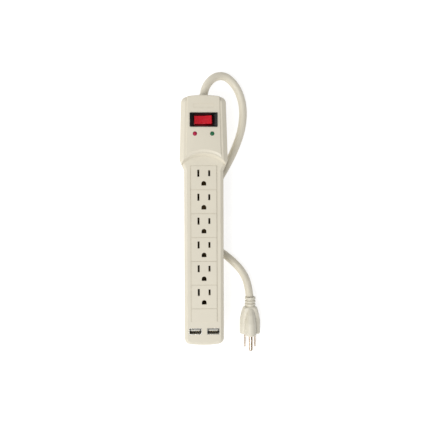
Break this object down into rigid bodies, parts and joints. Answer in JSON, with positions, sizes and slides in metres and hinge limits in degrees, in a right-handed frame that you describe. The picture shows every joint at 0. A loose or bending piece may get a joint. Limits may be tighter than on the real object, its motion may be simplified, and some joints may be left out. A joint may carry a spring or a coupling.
{
  "type": "power strip",
  "caption": "Long slim power strip with a thicker crowned head holding a rocker switch, a row of grounded outlets, USB charging ports and a short cord with a moulded plug.",
  "frame": {"origin": "centre of the housing's box, without the cord and the plug", "axes": "+Y along the strip towards the head with the switch, +Z out of the outlet face, +X across it"},
  "size_m": [0.0984, 0.3425, 0.0486],
  "materials": {
    "housing_plastic": "fine satin moulded texture",
    "screw_steel": "zinc plated",
    "switch_black": "semi gloss moulded",
    "rocker_red": "translucent red, glossy",
    "nylon_white": "natural nylon",
    "spring_steel": "drawn wire",
    "contact_brass": "rolled strip",
    "lamp_glass": "clear glass tube",
    "circuit_board": "green solder mask",
    "varistor_blue": "dipped epoxy",
    "fuse_white": "ceramic",
    "capacitor_yellow": "moulded box",
    "resistor_tan": "painted body",
    "led_red_lens": "clear tinted lens",
    "led_green_lens": "clear tinted lens",
    "carrier_plastic": "moulded",
    "usb_steel": "nickel plated sheet",
    "tongue_plastic": "moulded",
    "contact_gold": "gold plated",
    "ferrite": "ferrite core with a taped winding",
    "capacitor_can": "sleeved can",
    "chip_black": "moulded package",
    "wire_black": "PVC insulation",
    "wire_white": "PVC insulation",
    "wire_green": "PVC insulation",
    "cord_jacket": "smooth PVC jacket",
    "plug_moulding": "soft moulded PVC, satin",
    "prong_brass": "nickel washed brass"
  },
  "bodies": {
    "root": {"front_housing": "housing_plastic", "back_cover": "housing_plastic", "case_screws": "screw_steel", "switch_body": "switch_black", "switch_terminals": "contact_brass", "neon_lamp": "lamp_glass", "surge_board": "circuit_board", "varistors": "varistor_blue", "thermal_fuse": "fuse_white", "x_capacitor": "capacitor_yellow", "resistors": "resistor_tan", "led_red": "led_red_lens", "led_green": "led_green_lens", "neutral_busbar": "contact_brass", "line_busbar": "contact_brass", "ground_busbar": "contact_brass", "busbar_carrier": "carrier_plastic", "usb_shell_left": "usb_steel", "usb_tongue_left": "tongue_plastic", "usb_contacts_left": "contact_gold", "usb_shell_right": "usb_steel", "usb_tongue_right": "tongue_plastic", "usb_contacts_right": "contact_gold", "usb_board": "circuit_board", "transformer": "ferrite", "filter_capacitors": "capacitor_can", "usb_controller": "chip_black", "lead_line": "wire_black", "lead_switched": "wire_black", "lead_neutral": "wire_white", "lead_ground": "wire_green", "power_cord": "cord_jacket", "cord_strain_relief": "cord_jacket", "plug_body": "plug_moulding", "plug_core": "nylon_white", "neutral_blade": "prong_brass", "line_blade": "prong_brass", "ground_pin": "prong_brass"},
    "rocker": {"switch_rocker": "rocker_red", "rocker_plunger": "nylon_white", "rocker_spring": "spring_steel"},
    "contact_lever": {"contact_lever": "contact_brass"}
  },
  "joints": [
    {"name": "rocker_tilt", "type": "hinge", "parent": "root", "child": "rocker", "pos_m": [0, 0.118, 0.012], "axis": [0, 1, 0], "range_deg": [0, 20]},
    {"name": "lever_tilt", "type": "hinge", "parent": "root", "child": "contact_lever", "pos_m": [0, 0.118, 0.0031], "axis": [0, 1, 0], "range_deg": [-12, 0]}
  ],
  "couplings": [
    {"joint": "lever_tilt", "follows": "rocker_tilt", "ratio": -0.6}
  ]
}
